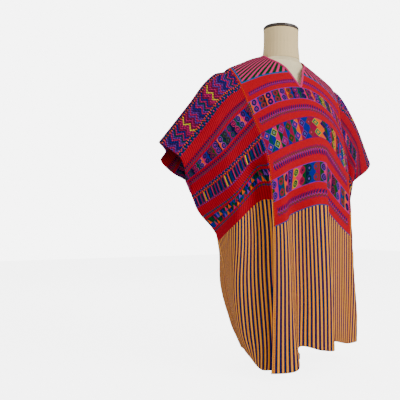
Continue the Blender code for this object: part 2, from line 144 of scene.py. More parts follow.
FRONT_CENTRE = [
    Centre(0, -146, 0, 904, -98, 0, 927, 0, 0, 953, 66, 0, 940, 130, 0, 912),
    Centre(50, -146, -45, 873, -98, -47, 896, 0, -50, 923, 66, -48, 908, 132, -42, 879),
    Centre(100, -144, -77, 833, -98, -80, 855, 0, -80, 877, 66, -79, 864, 130, -69, 838),
    Centre(150, -142, -104, 788, -96, -108, 810, 0, -103, 830, 64, -102, 818, 128, -90, 790),
    Centre(186, -140, -121, 756, -94, -126, 778, 0, -122, 798, 62, -120, 787, 126, -105, 756),
    Centre(260, -136, -157, 690, -92, -160, 710, 0, -158, 732, 50, -156, 722, 108, -139, 696),
    Centre(330, -132, -186, 624, -92, -187, 642, -6, -189, 668, 30, -185, 664, 66, -166, 650),
    Centre(400, -130, -197, 555, -94, -188, 572, -14, -198, 598, 20, -195, 596, 46, -174, 586),
    Centre(510, -126, -206, 443, -84, -172, 462, -16, -203, 489, 22, -204, 487, 38, -176, 480),
    Centre(650, -122, -216, 299, -76, -176, 326, -12, -208, 345, 26, -210, 343, 40, -178, 336),
    Centre(800, -116, -224, 148, -72, -184, 182, -8, -212, 194, 32, -215, 192, 44, -182, 192),
    Centre(918, -104, -232, 27, -70, -190, 78, -6, -213, 64, 36, -217, 60, 48, -183, 78),
]
BACK_CENTRE = [
    Centre(0, -146, 0, 904, -98, 0, 927, 0, 0, 953, 66, 0, 940, 130, 0, 912),
    Centre(50, -144, 44, 875, -98, 48, 897, 0, 54, 934, 66, 51, 918, 132, 44, 880),
    Centre(100, -142, 73, 833, -96, 78, 855, 0, 82, 888, 66, 80, 874, 130, 72, 838),
    Centre(150, -139, 89, 784, -94, 92, 806, 0, 92, 836, 64, 93, 823, 128, 89, 790),
    Centre(186, -136, 98, 748, -92, 99, 770, 0, 96, 800, 62, 99, 788, 126, 98, 754),
    Centre(260, -132, 108, 674, -90, 106, 696, 0, 104, 728, 60, 106, 714, 122, 107, 680),
    Centre(330, -129, 112, 604, -88, 108, 626, 0, 112, 658, 58, 110, 642, 120, 112, 610),
    Centre(400, -125, 111, 534, -84, 104, 556, 0, 120, 588, 56, 112, 572, 118, 110, 540),
    Centre(510, -118, 104, 424, -72, 84, 448, 0, 126, 478, 54, 108, 466, 112, 98, 430),
    Centre(650, -106, 92, 286, -56, 56, 310, 0, 128, 338, 50, 96, 326, 102, 78, 292),
    Centre(800, -86, 80, 138, -44, 38, 164, 2, 124, 190, 48, 86, 180, 98, 66, 148),
    Centre(900, -74, 72, 44, -36, 32, 72, 4, 120, 92, 46, 80, 84, 96, 60, 62),
]
NECK_HOLE = [
    Hole(-74, 0),
    Hole(-56, 34),
    Hole(-38, 52),
    Hole(-18, 63),
    Hole(0, 68),
    Hole(26, 66),
    Hole(50, 50),
    Hole(80, 29),
    Hole(110, 16),
    Hole(145, 0),
]


# The dress form in millimetres
TORSO = [
    Ring(398, 70, 60, 30, 2.0),
    Ring(402, 104, 92, 46, 2.0),
    Ring(416, 124, 112, 58, 2.1),
    Ring(450, 135, 122, 68, 2.2),
    Ring(510, 137, 128, 74, 2.2),
    Ring(570, 134, 132, 76, 2.2),
    Ring(630, 140, 146, 78, 2.2),
    Ring(680, 148, 152, 80, 2.2),
    Ring(720, 152, 143, 80, 2.1),
    Ring(760, 156, 126, 78, 2.0),
    Ring(800, 160, 105, 74, 1.9),
    Ring(835, 164, 85, 66, 1.8),
    Ring(862, 166, 68, 58, 1.7),
    Ring(882, 160, 58, 55, 1.6),
    Ring(898, 140, 54, 53, 1.5),
    Ring(912, 112, 54, 53, 1.4),
    Ring(924, 82, 52, 53, 1.5),
    Ring(933, 60, 57, 57, 2.0),
]


def joined(back, front):
    """One table from the back hem, where t is negative, over the fold to the front hem, in metres."""
    rows = [row._replace(t=-row.t) for row in reversed(back[1:])] + list(front)
    return np.array(rows, float) * MM


LEFT = joined(BACK_LEFT, FRONT_LEFT)
RIGHT = joined(BACK_RIGHT, FRONT_RIGHT)
MIDDLE = joined(BACK_CENTRE, FRONT_CENTRE)
HOLE = np.array(NECK_HOLE, float) * MM


def table_at(table, where):
    """The values of a table's row at one place in its first column, on a cubic through its rows."""
    knots = table[:, 0]
    values = table[:, 1:]
    slopes = np.gradient(values, knots, axis=0)
    k = int(np.clip(np.searchsorted(knots, where) - 1, 0, len(knots) - 2))
    step = knots[k + 1] - knots[k]
    u = (where - knots[k]) / step
    start = (1 + 2 * u) * (1 - u) ** 2 * values[k] + u * (1 - u) ** 2 * step * slopes[k]
    end = u * u * (3 - 2 * u) * values[k + 1] + u * u * (u - 1) * step * slopes[k + 1]
    return start + end


def side_points(table, t, side):
    """Control points outwards: seam, turn, the pleat's bottom and return, middle and edge."""
    row = table_at(table, t)
    seam, lobe, pleat, mid, edge = row[0:3], row[3], max(row[4], 0.0), row[5:8], row[8:11]
    full = min(pleat / PLEAT_FULL, 1.0)
    if t > 0:
        depth = PLEAT_BEHIND + PLEAT_SLOPE * pleat
        sideways = pleat
        inwards = 1
    else:
        depth = PLEAT_BEHIND + BACK_PLEAT_SLOPE * pleat
        sideways = BACK_PLEAT_WIDTH * pleat
        inwards = -1
    turn = seam + np.array([lobe, inwards * LOBE_SLOPE * lobe, 0.0])
    bottom = turn + np.array([-sideways, inwards * depth, 0.0])
    back_out = turn + np.array([-PLEAT_OPEN * pleat, inwards * (depth + PLEAT_RETURN), 0.0])
    plain = [seam + (mid - seam) * share for share in PLAIN_SHARES]
    folded = [turn, bottom, back_out]
    between = [a * (1 - full) + b * full for a, b in zip(plain, folded)]
    rounding = SHOULDER_ROUND * max(0.0, 1 - abs(t) / SHOULDER_FADE)
    between[1][2] += rounding
    between[2][2] += rounding
    points = np.array([seam, *between, mid, edge])
    points[:, 0] *= side
    return points


def curve_through(points):
    """Dense smooth line through the points, with the place of each of them in it."""
    ends = np.vstack([2 * points[0] - points[1], points, 2 * points[-1] - points[-2]])
    steps = np.sqrt(np.linalg.norm(np.diff(ends, axis=0), axis=1))
    knots = np.concatenate([[0], np.cumsum(steps)])
    line = []
    for k in range(1, len(ends) - 2):
        a, b, c, d = ends[k - 1 : k + 3]
        ka, kb, kc, kd = knots[k - 1 : k + 3]
        for u in np.linspace(kb, kc, CURVE_STEPS, endpoint=False):
            ab = a + (b - a) * (u - ka) / (kb - ka)
            bc = b + (c - b) * (u - kb) / (kc - kb)
            cd = c + (d - c) * (u - kc) / (kd - kc)
            abc = ab + (bc - ab) * (u - ka) / (kc - ka)
            bcd = bc + (cd - bc) * (u - kb) / (kd - kb)
            line.append(abc + (bcd - abc) * (u - kb) / (kc - kb))
    line.append(points[-1])
    return np.array(line), np.arange(len(points)) * CURVE_STEPS


def section(t):
    """The cloth's line across at t, in four parts: left side, left half, right half and right side."""
    left = side_points(LEFT, t, -1)
    right = side_points(RIGHT, t, 1)
    middle = table_at(MIDDLE, t).reshape(5, 3)
    line, places = curve_through(np.vstack([left[::-1], middle, right]))
    cuts = places[[0, 5, 8, 11, 16]]
    return [line[start : end + 1] for start, end in zip(cuts[:-1], cuts[1:])]


def points_on(part, shares):
    """Points of one part of a section at shares of its length."""
    steps = np.linalg.norm(np.diff(part, axis=0), axis=1)
    along = np.concatenate([[0], np.cumsum(steps)])
    places = np.asarray(shares) * along[-1]
    return np.column_stack([np.interp(places, along, part[:, k]) for k in range(3)])


def hole_half(t):
    if t <= HOLE[0, 0] + 1e-6 or t >= HOLE[-1, 0] - 1e-6:
        return 0.0
    return max(float(table_at(HOLE, t)[0]), 0.0)


def row_distances():
    """Distances t of the rows, from the back hem to the front hem, with rows at both ends of the hole."""
    upper = np.linspace(0, SLEEVE_SLIT, SLIT_STEPS + 1)
    front = np.concatenate([upper, np.linspace(SLEEVE_SLIT, FRONT_LENGTH, SKIRT_STEPS + 1)[1:]])
    back = np.concatenate([upper, np.linspace(SLEEVE_SLIT, BACK_LENGTH, SKIRT_STEPS + 1)[1:]])
    rows = np.concatenate([-back[:0:-1], front])
    for fixed in (HOLE[0, 0], HOLE[-1, 0]):
        rows[np.argmin(abs(rows - fixed))] = fixed
    return rows


class Cloth:
    """The points of all panels and the faces of each, so that their walls meet evenly at the seams."""

    def __init__(self):
        self.points = []
        self.faces = {}

    def add(self, point):
        self.points.append(np.asarray(point))
        return len(self.points) - 1

    def join_grid(self, name, index, turned):
        quads = self.faces.setdefault(name, [])
        for i in range(index.shape[0] - 1):
            for j in range(index.shape[1] - 1):
                quad = [index[i, j], index[i, j + 1], index[i + 1, j + 1], index[i + 1, j]]
                quads.append(quad[::-1] if turned else quad)

    def normals(self, seams):
        """Outward directions at the points, the same on both sides of a seam."""
        points = np.array(self.points)
        found = np.zeros_like(points)
        for quads in self.faces.values():
            for a, b, c, d in quads:
                across = np.cross(points[c] - points[a], points[d] - points[b])
                for k in (a, b, c, d):
                    found[k] += across
        for one, other in seams:
            both = found[one] + found[other]
            found[one] = both
            found[other] = both
        return found / np.maximum(np.linalg.norm(found, axis=1), 1e-12)[:, None]


def side_index(cloth, rows, grid):
    """Numbers the points of a side panel, front and back sharing the side seam below the slit."""
    index = np.zeros(grid.shape[:2], int)
    fold = len(rows) // 2
    for i in range(len(rows)):
        for j in range(grid.shape[1]):
            index[i, j] = cloth.add(grid[i, j])
    for step in range(SLIT_STEPS, fold + 1):
        front, back = index[fold + step, -1], index[fold - step, -1]
        cloth.points[front] = (cloth.points[front] + cloth.points[back]) / 2
        index[fold - step, -1] = front
    return index


def build_cloth():
    """All panels' points and faces, the seams as pairs of points, and the neckline as triples."""
    rows = row_distances()
    gap = SEAM_GAP / 2
    cloth = Cloth()
    sides = []
    centre = []
    lines = [section(t) for t in rows]
    side_shares = np.linspace(gap / SIDE_WIDTH, 1, SIDE_STEPS + 1)
    for side, name in enumerate(("side_panel_left", "side_panel_right")):
        parts = [line[3] if side else line[0][::-1] for line in lines]
        grid = np.array([points_on(part, side_shares) for part in parts])
        index = side_index(cloth, rows, grid)
        cloth.join_grid(name, index, bool(side))
        sides.append(index)
    for side in range(2):
        index = np.zeros((len(rows), CENTRE_STEPS + 1), int)
        for i, t in enumerate(rows):
            half = hole_half(t)
            part = lines[i][2] if side else lines[i][1][::-1]
            shares = np.linspace(half / CENTRE_HALF, 1 - gap / CENTRE_HALF, CENTRE_STEPS + 1)
            points = points_on(part, shares)
            for j in range(CENTRE_STEPS + 1):
                shared = side == 1 and j == 0 and half == 0.0
                index[i, j] = centre[0][i, 0] if shared else cloth.add(points[j])
        cloth.join_grid("centre_panel", index, bool(side))
        centre.append(index)
    seams = [pair for k in range(2) for pair in zip(sides[k][:, 0], centre[k][:, -1])]
    return cloth, seams, neckline(centre, rows)


def neckline(centre, rows):
    """The hole's edge points in order, each with the point that its binding runs towards."""
    left, right = centre
    is_open = [i for i in range(len(rows)) if left[i, 0] != right[i, 0]]
    first, last = is_open[0], is_open[-1]
    loop = [(left[first - 1, 0], left[first - 2, 0])]
    loop += [(left[i, 0], left[i, 1]) for i in is_open]
    loop += [(left[last + 1, 0], left[last + 2, 0])]
    loop += [(right[i, 0], right[i, 1]) for i in reversed(is_open)]
    return loop


def shell(outer, inner, quads):
    """Points and faces of a closed wall between two sets of points joined by the same faces."""
    used = sorted({k for quad in quads for k in quad})
    place = {k: n for n, k in enumerate(used)}
    points = [outer[k] for k in used] + [inner[k] for k in used]
    count = len(used)
    faces = []
    edges = {}
    for quad in quads:
        quad = [place[k] for k in quad]
        faces.append(quad)
        faces.append([k + count for k in quad[::-1]])
        for a, b in zip(quad, quad[1:] + quad[:1]):
            edges[a, b] = True
    for a, b in edges:
        if (b, a) not in edges:
            faces.append([b, a, a + count, b + count])
    return points, faces




def shell_with_map(name, outer, inner, quads, places, surface):
    """A closed wall of two faces, its flat places as a UV map."""
    points, faces = shell(outer, inner, quads)
    used = sorted({k for quad in quads for k in quad})
    mesh = bpy.data.meshes.new(name)
    mesh.from_pydata([tuple(point) for point in points], [], faces)
    mesh.materials.append(surface)
    flat = np.array([places[k] for k in used] * 2)
    corners = np.zeros(len(mesh.loops), int)
    mesh.loops.foreach_get("vertex_index", corners)
    layer = mesh.uv_layers.new(name="flat_cloth")
    layer.data.foreach_set("uv", flat[corners].ravel())
    mesh.polygons.foreach_set("use_smooth", np.ones(len(faces), bool))
    mesh.update()
    piece = bpy.data.objects.new(name, mesh)
    bpy.context.scene.collection.objects.link(piece)
    return piece


def cloth_pieces(surfaces):
    """The three panels at fine steps, each a wall with its flat map."""
    rows = row_distances()
    gap = SEAM_GAP / 2
    cloth = Cloth()
    places = {}
    lines = [section(t) for t in rows]
    side_shares = np.linspace(gap / SIDE_WIDTH, 1, SIDE_STEPS + 1)
    sides = []
    centre = []
    for side, name in enumerate(("side_panel_left", "side_panel_right")):
        parts = [line[3] if side else line[0][::-1] for line in lines]
        grid = np.array([points_on(part, side_shares) for part in parts])
        index = side_index(cloth, rows, grid)
        for i, t in enumerate(rows):
            for j, share in enumerate(side_shares):
                places[index[i, j]] = (share * SIDE_WIDTH, t)
        cloth.join_grid(name, index, bool(side))
        sides.append(index)
    for side in range(2):
        index = np.zeros((len(rows), CENTRE_STEPS + 1), int)
        for i, t in enumerate(rows):
            half = hole_half(t)
            part = lines[i][2] if side else lines[i][1][::-1]
            shares = np.linspace(half / CENTRE_HALF, 1 - gap / CENTRE_HALF, CENTRE_STEPS + 1)
            points = points_on(part, shares)
            for j in range(CENTRE_STEPS + 1):
                shared = side == 1 and j == 0 and half == 0.0
                index[i, j] = centre[0][i, 0] if shared else cloth.add(points[j])
                places[index[i, j]] = ((1 if side else -1) * shares[j] * CENTRE_HALF, t)
        cloth.join_grid("centre_panel", index, bool(side))
        centre.append(index)
    seams = [pair for k in range(2) for pair in zip(sides[k][:, 0], centre[k][:, -1])]
    outer = np.array(cloth.points)
    normals = cloth.normals(seams)
    inner = outer - normals * WALL
    made = {}
    for name, quads in cloth.faces.items():
        piece = shell_with_map(name + "_cloth", outer, inner, quads, places, surfaces[name])
        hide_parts(name)
        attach(piece, "root")
        made[name] = piece
    return made, outer, normals, neckline(centre, rows)


# Thread colours, deep enough to hold under the picture's own soft tone curve
RED = "#B8041C"
CRIMSON = "#A6041E"
PINK = "#CC1260"
ROSE = "#8E0838"
MAGENTA = "#E61E7C"
ORANGE = "#E65400"
TANGERINE = "#F88C18"
AMBER = "#FFAE3A"
YELLOW = "#F5D400"
LIME = "#9CB820"
OLIVE = "#4A3E0C"
GREEN = "#00401A"
TEAL = "#00424E"
BLUE = "#0A1C86"
SKY = "#0A5494"
NAVY = "#060A34"
LILAC = "#6E32A0"
PURPLE = "#38106A"
PLUM = "#220A3A"
INDIGO = "#1C0A58"

Band = namedtuple("Band", "start end kind pitch palette")

# The bands of the centre panel in millimetres down from the shoulder fold
CENTRE_BANDS = [
    Band(119, 134, "zigzag", 7.2, "purple"),
    Band(148, 191, "octagons", 25.5, "upper"),
    Band(209, 236, "zigzag", 8.2, "olive"),
    Band(256, 326, "diamonds", 27.0, "middle"),
    Band(347, 378, "zigzag", 9.0, "turned"),
    Band(396, 456, "octagons", 26.5, "lower"),
    Band(474, 500, "zigzag", 9.4, "olive"),
    Band(520, 523, "line", 1.0, "blue"),
]
CENTRE_STRIPES = 523
ZIGZAG_HALF = 186.0

# The bands of the side panels, over a ribbed ground
SIDE_BANDS = [
    Band(6, 15, "checks", 4.3, "cool"),
    Band(15, 19, "dots", 4.3, "orange"),
    Band(19, 75, "chevrons", 56.0, "sleeve"),
    Band(75, 79, "dots", 4.3, "orange"),
    Band(79, 92, "checks", 4.3, "cool"),
    Band(126, 146, "zigzag", 8.0, "dull"),
    Band(153, 196, "slants", 24.0, "dark"),
    Band(202, 222, "zigzag", 8.0, "dull"),
    Band(256, 266, "checks", 4.3, "cool"),
    Band(266, 270, "dots", 4.3, "orange"),
    Band(272, 310, "bars", 4.3, "bars"),
    Band(312, 315, "dots", 4.3, "lilac"),
    Band(347, 354, "dots", 6.0, "violet"),
    Band(362, 396, "triangles", 15.0, "triangles"),
    Band(402, 408, "dots", 6.0, "violet"),
]
SIDE_STRIPES = 447
RIB_PITCH = 7.4

# The joining stitches, in from the centre panel's edges, and the warp stripes
STITCH_FROM = 196.2
STITCH_TO = 198.6
STITCH_PITCH = 6.5
STRIPE_PITCH = 11.6
STRIPE_SHARE = 0.47
STRIPE_SHIFT = 3.0

# The yoke: half its width, its depth, its border's rise to the seam and its width, and the rays of a turn
YOKE_HALF = 194.0
YOKE_DEPTH = 97.0
YOKE_RISE = 14.0
YOKE_BORDER = 5.0
RAYS = 60.0
RAY_SHARE = 0.42

# The sleeve's zigzags: the size of one float, the rows of a full zigzag and the floats of one line
CHEVRON_FLOAT = 3.6
CHEVRON_ROWS = 8.0
CHEVRON_WIDTH = 1.0

PALETTES = {
    "upper_left": [GREEN, ROSE, GREEN, BLUE, ORANGE, BLUE, ORANGE, BLUE, PINK, ORANGE, NAVY, GREEN],
    "upper_right": [ORANGE, TEAL, ROSE, TEAL, PINK, NAVY, PINK, GREEN, ROSE, BLUE, TEAL, PINK],
    "upper_ring": [PURPLE, LILAC, LIME, OLIVE, LILAC, OLIVE, PURPLE, OLIVE, LILAC, OLIVE, ROSE, PURPLE],
    "upper_inside": [ROSE, NAVY, ROSE, PLUM, NAVY, ROSE, NAVY, ROSE, PLUM, ROSE, PURPLE, NAVY],
    "upper_heart": [NAVY, PINK, OLIVE, PURPLE, ROSE, NAVY, PINK, PLUM, NAVY, GREEN, PINK, NAVY],
    "middle_left": [BLUE, GREEN, ROSE, ROSE, BLUE, GREEN, BLUE, TEAL, ROSE, BLUE, ROSE, ORANGE],
    "middle_right": [ROSE, ORANGE, BLUE, TEAL, PINK, ROSE, ROSE, ORANGE, BLUE, ROSE, ORANGE, GREEN],
    "middle_ring": [LILAC, LIME, OLIVE, LILAC, LIME, LILAC, OLIVE, LILAC, LILAC, OLIVE, LIME, PURPLE],
    "middle_inside": [NAVY, ROSE, PLUM, BLUE, NAVY, ROSE, GREEN, PURPLE, NAVY, ROSE, TEAL, PLUM],
    "middle_heart": [SKY, PINK, ROSE, ORANGE, SKY, PINK, ROSE, PINK, SKY, PINK, ORANGE, NAVY],
    "lower_left": [ORANGE, TEAL, NAVY, GREEN, BLUE, ORANGE, NAVY, ORANGE, PINK, NAVY, BLUE, GREEN],
    "lower_right": [ROSE, PINK, GREEN, PINK, TEAL, PINK, PURPLE, PINK, GREEN, BLUE, ROSE, PINK],
    "lower_ring": [LILAC, TEAL, ROSE, LILAC, OLIVE, PURPLE, LILAC, LIME, ROSE, TEAL, OLIVE, LILAC],
    "lower_inside": [PLUM, ROSE, NAVY, PURPLE, ROSE, NAVY, PLUM, NAVY, ROSE, NAVY, ROSE, PLUM],
    "lower_heart": [PURPLE, BLUE, NAVY, NAVY, GREEN, PURPLE, ROSE, NAVY, NAVY, LILAC, BLUE, NAVY],
    "dark_left": [NAVY, GREEN, BLUE, ORANGE, TEAL, NAVY, PURPLE, GREEN],
    "dark_right": [ROSE, NAVY, PINK, GREEN, NAVY, ROSE, NAVY, ORANGE],
    "dark_ring": [LILAC, ROSE, PURPLE, LILAC, PINK, PURPLE, OLIVE, LILAC],
    "dark_inside": [NAVY, PLUM, PLUM, NAVY, NAVY, GREEN, NAVY, NAVY],
    "dark_heart": [ROSE, GREEN, PURPLE, TEAL, ROSE, PURPLE, TEAL, ROSE],
    "cool": [NAVY, TEAL, NAVY, TEAL, BLUE, NAVY, PINK],
    "sleeve": [
        PINK, LILAC, ROSE, PINK, BLUE, LILAC, PINK, ROSE, TEAL,
        PINK, LILAC, ROSE, PINK, YELLOW, BLUE, PINK, PURPLE,
    ],
    "sleeve_specks": [NAVY, PLUM, BLUE, NAVY],
    "bars": [
        BLUE, NAVY, TEAL, PINK, NAVY, BLUE, ROSE, NAVY, TEAL, PINK, NAVY, BLUE,
        TEAL, NAVY, ORANGE, BLUE, NAVY, YELLOW, PINK, NAVY, TEAL, ROSE,
    ],
    "triangles_left": [NAVY, TEAL, BLUE, NAVY, GREEN],
    "triangles_right": [PINK, BLUE, ORANGE, LILAC, ROSE, GREEN, ORANGE],
    "orange": [ORANGE, NAVY],
    "lilac": [LILAC, NAVY],
    "violet": [PURPLE, OLIVE],
}


def shade(code):
    """A colour code as Blender's linear colour."""
    parts = [int(code[k : k + 2], 16) / 255 for k in (1, 3, 5)]
    return (*[p / 12.92 if p < 0.04045 else ((p + 0.055) / 1.055) ** 2.4 for p in parts], 1.0)


class Graph:
    """Adds nodes to one tree and joins them."""

    def __init__(self, tree):
        self.tree = tree

    def node(self, kind, **settings):
        made = self.tree.nodes.new(kind)
        for key, value in settings.items():
            setattr(made, key, value)
        return made

    def feed(self, socket, value):
        if isinstance(value, bpy.types.NodeSocket):
            self.tree.links.new(value, socket)
        elif isinstance(value, str):
            socket.default_value = shade(value)
        else:
            socket.default_value = value

    def math(self, operation, *values):
        made = self.node("ShaderNodeMath", operation=operation)
        for socket, value in zip(made.inputs, values):
            self.feed(socket, value)
        return made.outputs[0]

    def mix(self, share, first, second):
        made = self.node("ShaderNodeMix", data_type="RGBA")
        self.feed(made.inputs[0], share)
        self.feed(made.inputs[6], first)
        self.feed(made.inputs[7], second)
        return made.outputs[2]

    def within(self, value, low, high):
        return self.math("COMPARE", value, (low + high) / 2, (high - low) / 2)

    def both(self, *masks):
        found = masks[0]
        for mask in masks[1:]:
            found = self.math("MULTIPLY", found, mask)
        return found

    def below(self, value, limit):
        return self.math("LESS_THAN", value, limit)

    def above(self, value, limit):
        return self.math("GREATER_THAN", value, limit)

    def share_of(self, value, pitch):
        """Where a value lies in its repeat, from 0 to 1."""
        return self.math("FRACT", self.math("DIVIDE", value, pitch))

    def cell(self, value, pitch):
        return self.math("FLOOR", self.math("DIVIDE", value, pitch))

    def palette(self, number, name):
        """The palette's colour for a whole number, which runs round it."""
        colours = PALETTES[name]
        count = len(colours)
        place = self.math("DIVIDE", self.math("FLOORED_MODULO", number, float(count)), float(count))
        ramp = self.node("ShaderNodeValToRGB")
        ramp.color_ramp.interpolation = "CONSTANT"
        stops = ramp.color_ramp.elements
        stops[0].color = shade(colours[0])
        stops[0].position = 0.0
        stops[1].position = 1 / count - 0.01
        stops[1].color = shade(colours[1])
        for k in range(2, count):
            stop = stops.new(k / count - 0.01)
            stop.color = shade(colours[k])
        self.feed(ramp.inputs[0], place)
        return ramp.outputs[0]

    def group(self, tree, **values):
        made = self.node("ShaderNodeGroup", node_tree=tree)
        for name, value in values.items():
            self.feed(made.inputs[name], value)
        return made.outputs


def new_group(name, inputs, outputs):
    """An empty group with float inputs and outputs, its graph and its inner sockets by name."""
    tree = bpy.data.node_groups.new(name, "ShaderNodeTree")
    for title, usual in inputs.items():
        socket = tree.interface.new_socket(title, in_out="INPUT", socket_type="NodeSocketFloat")
        socket.default_value = usual
    for title in outputs:
        tree.interface.new_socket(title, in_out="OUTPUT", socket_type="NodeSocketFloat")
    graph = Graph(tree)
    taken = graph.node("NodeGroupInput").outputs
    given = graph.node("NodeGroupOutput").inputs
    return tree, graph, taken, given


def zigzag_group():
    """A brocaded zigzag: slanting strokes above, a line, and two thinner lines below it."""
    tree, g, taken, given = new_group(
        "brocaded_zigzag", {"Across": 0.0, "Depth": 0.5, "Pitch": 9.0}, ["Strokes", "Line", "Lower", "Foot"]
    )
    along = g.share_of(taken["Across"], taken["Pitch"])
    wave = g.math("MULTIPLY", g.math("ABSOLUTE", g.math("SUBTRACT", along, 0.5)), 2.0)
    off = g.math("SUBTRACT", taken["Depth"], g.math("ADD", 0.44, g.math("MULTIPLY", wave, 0.24)))
    slant = g.math("FRACT", g.math("ADD", along, g.math("MULTIPLY", taken["Depth"], 1.3)))
    top = g.above(taken["Depth"], g.math("ADD", 0.02, g.math("MULTIPLY", wave, 0.14)))
    g.feed(given["Strokes"], g.both(g.below(off, -0.03), g.below(slant, 0.64), top))
    g.feed(given["Line"], g.within(off, -0.03, 0.05))
    g.feed(given["Lower"], g.within(off, 0.11, 0.23))
    g.feed(given["Foot"], g.within(off, 0.27, 0.35))
    return tree


def figure_group():
    """Two stacked figures in a block, octagons or diamonds, as a ring, its inside and its heart."""
    tree, g, taken, given = new_group(
        "stacked_figures",
        {"Across": 0.0, "Depth": 0.5, "Pitch": 27.0, "Height": 42.0, "Diamond": 0.0},
        ["Ring", "Inside", "Heart", "Right half", "Cell"],
    )
    along = g.math("SUBTRACT", g.share_of(taken["Across"], taken["Pitch"]), 0.5)
    down = g.math("SUBTRACT", g.share_of(taken["Depth"], 0.5), 0.5)
    tall = g.math("DIVIDE", g.math("MULTIPLY", taken["Height"], 0.5), taken["Pitch"])
    u = g.math("ABSOLUTE", along)
    v = g.math("MULTIPLY", g.math("ABSOLUTE", down), g.math("MULTIPLY", tall, 0.88))
    slope = g.math("ADD", u, v)
    eight = g.math("MAXIMUM", g.math("MAXIMUM", u, v), g.math("MULTIPLY", slope, 0.72))
    spread = g.math("SUBTRACT", g.math("MULTIPLY", slope, 0.80), eight)
    size = g.math("ADD", eight, g.math("MULTIPLY", spread, taken["Diamond"]))
    g.feed(given["Ring"], g.math("ADD", g.within(size, 0.29, 0.36), g.within(size, 0.10, 0.155)))
    g.feed(given["Inside"], g.below(size, 0.29))
    g.feed(given["Heart"], g.below(size, 0.10))
    g.feed(given["Right half"], g.above(along, 0.0))
    g.feed(given["Cell"], g.cell(taken["Across"], taken["Pitch"]))
    return tree


def thread_group():
    """Warp ribs and weft picks as a height; as a shade, painted shade in the grooves between the ribs and painted
    light on their tops, with the slow unevenness of hand-spun thread.
    """
    tree, g, taken, given = new_group(
        "hand_weave",
        {"Across": 0.0, "Down": 0.0, "Rib": 1.5, "Pick": 1.1, "Rib depth": 1.0},
        ["Height", "Painted rib shade and unevenness"],
    )
    ribs = g.math("SINE", g.math("DIVIDE", g.math("MULTIPLY", taken["Across"], 2 * math.pi), taken["Rib"]))
    picks = g.math("SINE", g.math("DIVIDE", g.math("MULTIPLY", taken["Down"], 2 * math.pi), taken["Pick"]))
    place = g.node("ShaderNodeCombineXYZ")
    g.feed(place.inputs[0], g.math("MULTIPLY", taken["Across"], 1.4))
    g.feed(place.inputs[1], g.math("MULTIPLY", taken["Down"], 0.11))
    streaks = g.node("ShaderNodeTexNoise")
    streaks.inputs["Scale"].default_value = 1.0
    streaks.inputs["Detail"].default_value = 3.0
    g.feed(streaks.inputs["Vector"], place.outputs[0])
    weave = g.math("ADD", g.math("MULTIPLY", ribs, taken["Rib depth"]), g.math("MULTIPLY", picks, 0.4))
    g.feed(given["Height"], g.math("ADD", weave, g.math("MULTIPLY", streaks.outputs[0], 1.2)))
    # Painted light and shade: darker in the grooves between the ribs, lighter on their tops.
    painted_rib_light_and_shade = g.math("MULTIPLY", g.math("MULTIPLY", ribs, taken["Rib depth"]), 0.28)
    g.feed(given["Painted rib shade and unevenness"], g.math("ADD", g.math("ADD", 0.62, painted_rib_light_and_shade), g.math("MULTIPLY", streaks.outputs[0], 0.72)))
    return tree


def cloth_material(name, ground, bands, stripes, groups, rib, centre):
    """Woven cloth: a ground, its bands from the fold down, and orange and navy warp stripes to the hem."""
    made = bpy.data.materials.new(name)
    made.use_nodes = True
    g = Graph(made.node_tree)
    shader = made.node_tree.nodes["Principled BSDF"]
    flat = g.node("ShaderNodeUVMap", uv_map="flat_cloth")
    parts = g.node("ShaderNodeSeparateXYZ")
    g.feed(parts.inputs[0], flat.outputs[0])
    across = g.math("MULTIPLY", parts.outputs[0], 1000.0)
    down = g.math("MULTIPLY", g.math("ABSOLUTE", parts.outputs[1]), 1000.0)
    weave = g.group(
        groups["weave"], **{"Across": across, "Down": down, "Rib": rib, "Rib depth": 0.35 if centre else 1.0}
    )
    colour = ground
    relief = 0.0
    for band in bands:
        inside = g.within(down, band.start, band.end)
        if centre and band.kind == "zigzag":
            inside = g.both(inside, g.below(g.math("ABSOLUTE", across), ZIGZAG_HALF))
        depth = g.math("DIVIDE", g.math("SUBTRACT", down, float(band.start)), float(band.end - band.start))
        painted, raised = band_pattern(g, band, across, depth, ground, groups)
        colour = g.mix(inside, colour, painted)
        relief = g.math("ADD", relief, g.math("MULTIPLY", inside, raised))
    if centre:
        colour, relief = yoke_pattern(g, across, down, colour, relief)
    place = g.share_of(g.math("ADD", across, STRIPE_SHIFT), STRIPE_PITCH)
    stripe = g.below(place, STRIPE_SHARE)
    core = g.within(place, 0.08, 0.38)
    edge = g.within(place, 0.66, 0.76)
    striped = g.mix(stripe, g.mix(edge, NAVY, BLUE), g.mix(core, TANGERINE, AMBER))
    colour = g.mix(g.above(down, float(stripes)), colour, striped)
    if centre:
        edge = g.within(g.math("ABSOLUTE", across), STITCH_FROM, STITCH_TO)
        stitch = g.both(edge, g.below(g.share_of(down, STITCH_PITCH), 0.6))
        colour = g.mix(stitch, colour, ORANGE)
        relief = g.math("ADD", relief, stitch)
    # The painted rib shade, with the thread's unevenness, is multiplied into the colour.
    tone = g.node("ShaderNodeMix", data_type="RGBA", blend_type="MULTIPLY")
    tone.inputs[0].default_value = 1.0
    g.feed(tone.inputs[6], colour)
    grey = g.node("ShaderNodeCombineColor")
    for socket in grey.inputs[:3]:
        g.feed(socket, weave["Painted rib shade and unevenness"])
    g.feed(tone.inputs[7], grey.outputs[0])
    g.feed(shader.inputs["Base Color"], tone.outputs[2])
    shader.inputs["Roughness"].default_value = 0.9
    shader.inputs["Specular IOR Level"].default_value = 0.10
    bump = g.node("ShaderNodeBump")
    bump.inputs["Strength"].default_value = 0.5
    bump.inputs["Distance"].default_value = 0.0005
    height = g.math("ADD", g.math("MULTIPLY", weave["Height"], 0.5), g.math("MULTIPLY", relief, 1.6))
    g.feed(bump.inputs["Height"], height)
    g.feed(shader.inputs["Normal"], bump.outputs[0])
    return made


